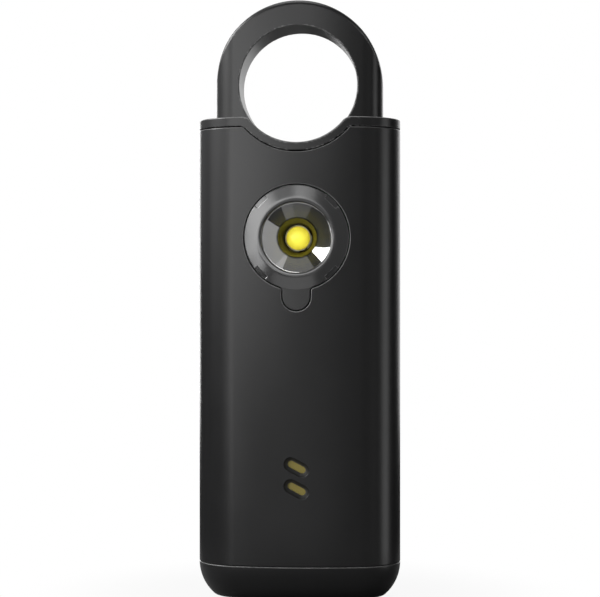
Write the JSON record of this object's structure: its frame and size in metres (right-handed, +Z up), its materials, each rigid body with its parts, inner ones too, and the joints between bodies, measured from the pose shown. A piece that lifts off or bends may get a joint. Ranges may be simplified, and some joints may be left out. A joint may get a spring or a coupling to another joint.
{
  "type": "personal safety alarm",
  "caption": "Pocket safety alarm in an oval black case: pulling the ring on top sets off the siren, the round bezel on the front is a push-button torch, and leaning windows show signal lights.",
  "frame": {"origin": "middle of the underside", "axes": "+Z up towards the pull ring, -Y out of the front with the torch, +X to the right of someone who faces the front"},
  "size_m": [0.032, 0.0173, 0.094],
  "materials": {
    "case_plastic": "fine moulded texture",
    "bezel_plastic": "smooth",
    "frame_plastic": "moulded",
    "seal_rubber": "smooth",
    "prong_rubber": "smooth",
    "foam": "foam",
    "steel": "plated",
    "magnet_metal": "plated",
    "lens_clear": "clear",
    "reflector_metal": "polished",
    "light_post": "plain",
    "light_white": "smooth",
    "light_yellow": "smooth",
    "guide_yellow": "cloudy",
    "switch_plastic": "moulded",
    "plunger_plastic": "moulded",
    "board_green": "lacquered",
    "chip_black": "moulded",
    "capacitor_tan": "fired",
    "ferrite": "ground",
    "copper": "enamelled wire",
    "reed_glass": "clear",
    "battery_foil": "foil",
    "wire_red": "insulated",
    "wire_black": "insulated",
    "sounder_brass": "rolled",
    "sounder_white": "silvered",
    "tongue_plastic": "moulded"
  },
  "bodies": {
    "case": {"body_sleeve": "case_plastic", "base_cap": "case_plastic", "base_seal": "seal_rubber", "inner_frame": "frame_plastic", "cap_screws": "steel", "torch_spring": "steel", "torch_light_base": "light_post", "torch_light_package": "light_white", "torch_light_dome": "light_yellow", "switch_body": "switch_plastic", "signal_light_guide": "guide_yellow", "signal_lights": "light_white", "circuit_board": "board_green", "board_screws": "steel", "controller_chip": "chip_black", "board_capacitors": "capacitor_tan", "boost_coil_core": "ferrite", "boost_coil_winding": "copper", "reed_switch": "reed_glass", "battery_cell": "battery_foil", "battery_pad": "foam", "battery_lead_positive": "wire_red", "battery_lead_negative": "wire_black", "sounder_holder": "frame_plastic", "sounder_plate": "sounder_brass", "sounder_ceramic": "sounder_white", "sounder_leads": "wire_red", "charging_shell": "steel", "charging_tongue": "tongue_plastic"},
    "pull_top": {"pull_ring": "case_plastic", "prong_seals": "prong_rubber", "trigger_magnet": "magnet_metal"},
    "torch_button": {"torch_bezel": "bezel_plastic", "torch_lens": "lens_clear", "torch_reflector": "reflector_metal"},
    "plunger": {"switch_plunger": "plunger_plastic"}
  },
  "joints": [
    {"name": "ring_pull", "type": "slide", "parent": "case", "child": "pull_top", "axis": [0, 0, 1], "range_m": [0, 0.025]},
    {"name": "torch_press", "type": "slide", "parent": "case", "child": "torch_button", "axis": [0, 1, 0], "range_m": [0, 0.0005], "stiffness_N_per_m": 1500, "deforming": ["torch_spring"]},
    {"name": "switch_click", "type": "slide", "parent": "case", "child": "plunger", "axis": [0, 1, 0], "range_m": [0, 0.0005]}
  ],
  "couplings": [
    {"joint": "switch_click", "follows": "torch_press", "ratio": 1}
  ]
}
